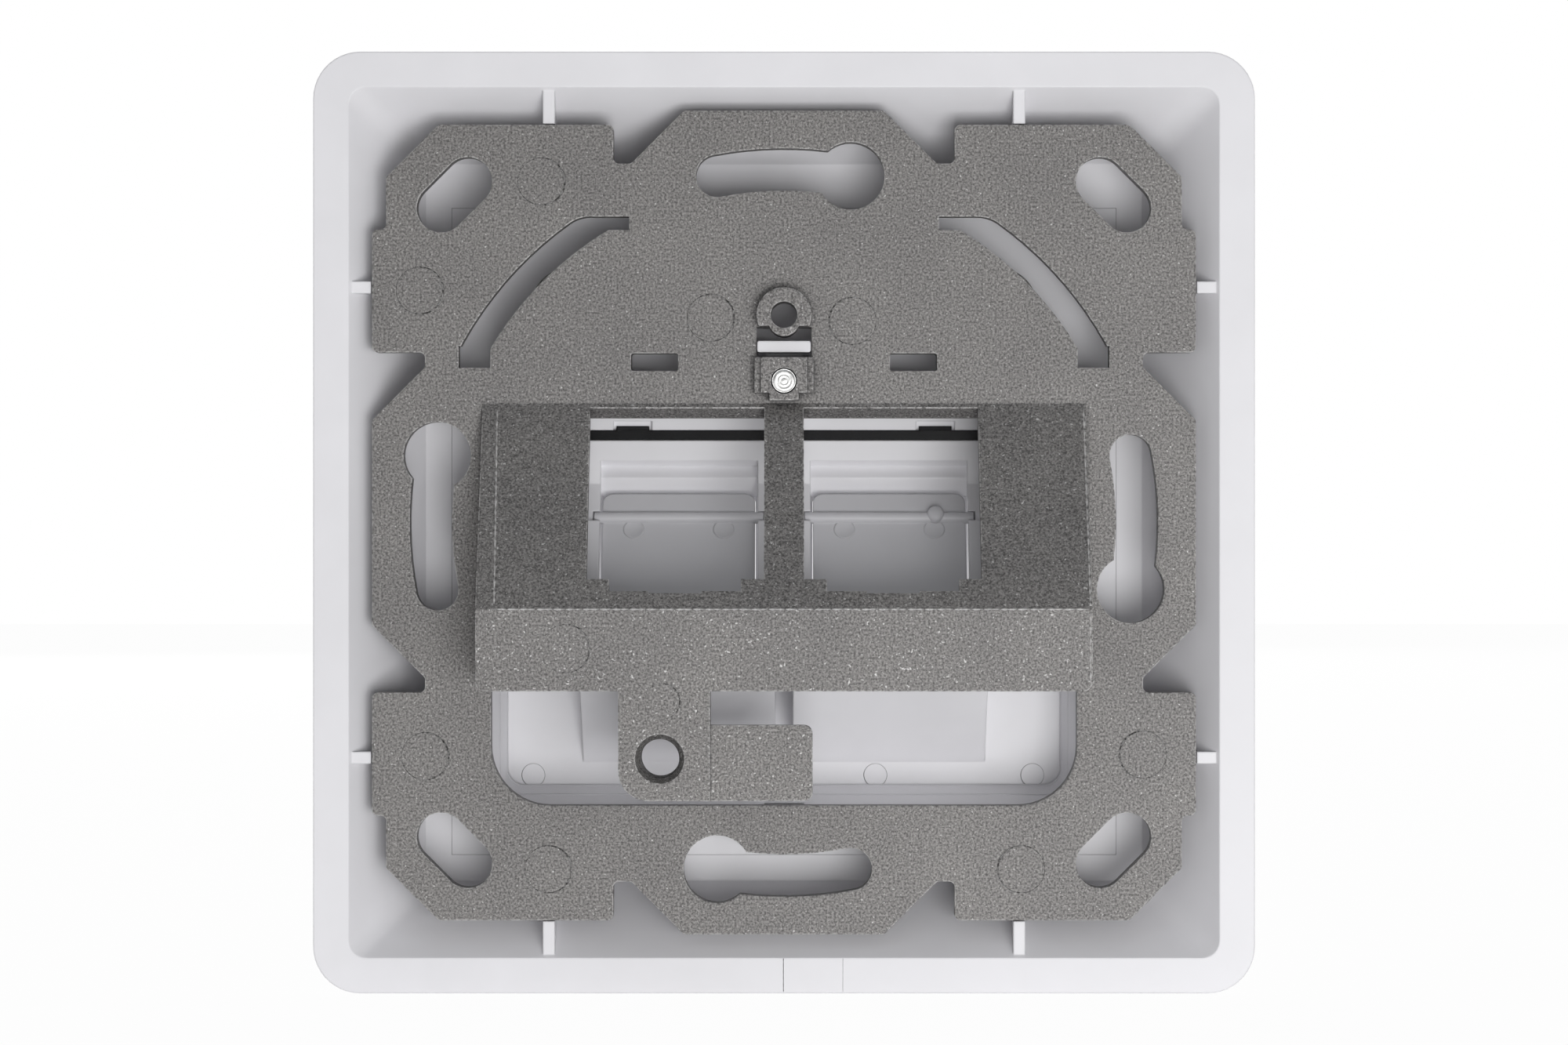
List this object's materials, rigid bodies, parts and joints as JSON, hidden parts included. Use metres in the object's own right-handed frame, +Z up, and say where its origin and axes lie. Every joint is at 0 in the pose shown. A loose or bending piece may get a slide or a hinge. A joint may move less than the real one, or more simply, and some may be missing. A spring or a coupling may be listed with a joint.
{
  "type": "keystone wall outlet housing",
  "caption": "Angled keystone wall outlet housing: die-cast carrier behind a square white cover with label field and hinged dust flaps over its ports.",
  "frame": {"origin": "centre of the wall plane, where the carrier's back and the cover's rim meet the wall; also the centre of the wall box screw circle", "axes": "+Z up as installed, +Y into the wall, -Y faces the room, +X to the viewer's right"},
  "size_m": [0.08, 0.0195, 0.08],
  "materials": {
    "carrier_zinc": "satin",
    "cover_white": "satin",
    "flap_white": "satin",
    "label_clear": "gloss",
    "screw_steel": "gloss"
  },
  "bodies": {
    "housing": {"carrier": "carrier_zinc", "cover": "cover_white", "label_cover": "label_clear", "cover_screw": "screw_steel"},
    "flap_left": {"flap_left": "flap_white"},
    "flap_right": {"flap_right": "flap_white"}
  },
  "joints": [
    {"name": "flap_left_hinge", "type": "hinge", "parent": "housing", "child": "flap_left", "pos_m": [-0.00907, -0.00635, 0.0004], "axis": [-1, 0, 0], "range_deg": [0, 90]},
    {"name": "flap_right_hinge", "type": "hinge", "parent": "housing", "child": "flap_right", "pos_m": [0.00907, -0.00635, 0.0004], "axis": [-1, 0, 0], "range_deg": [0, 90]}
  ]
}
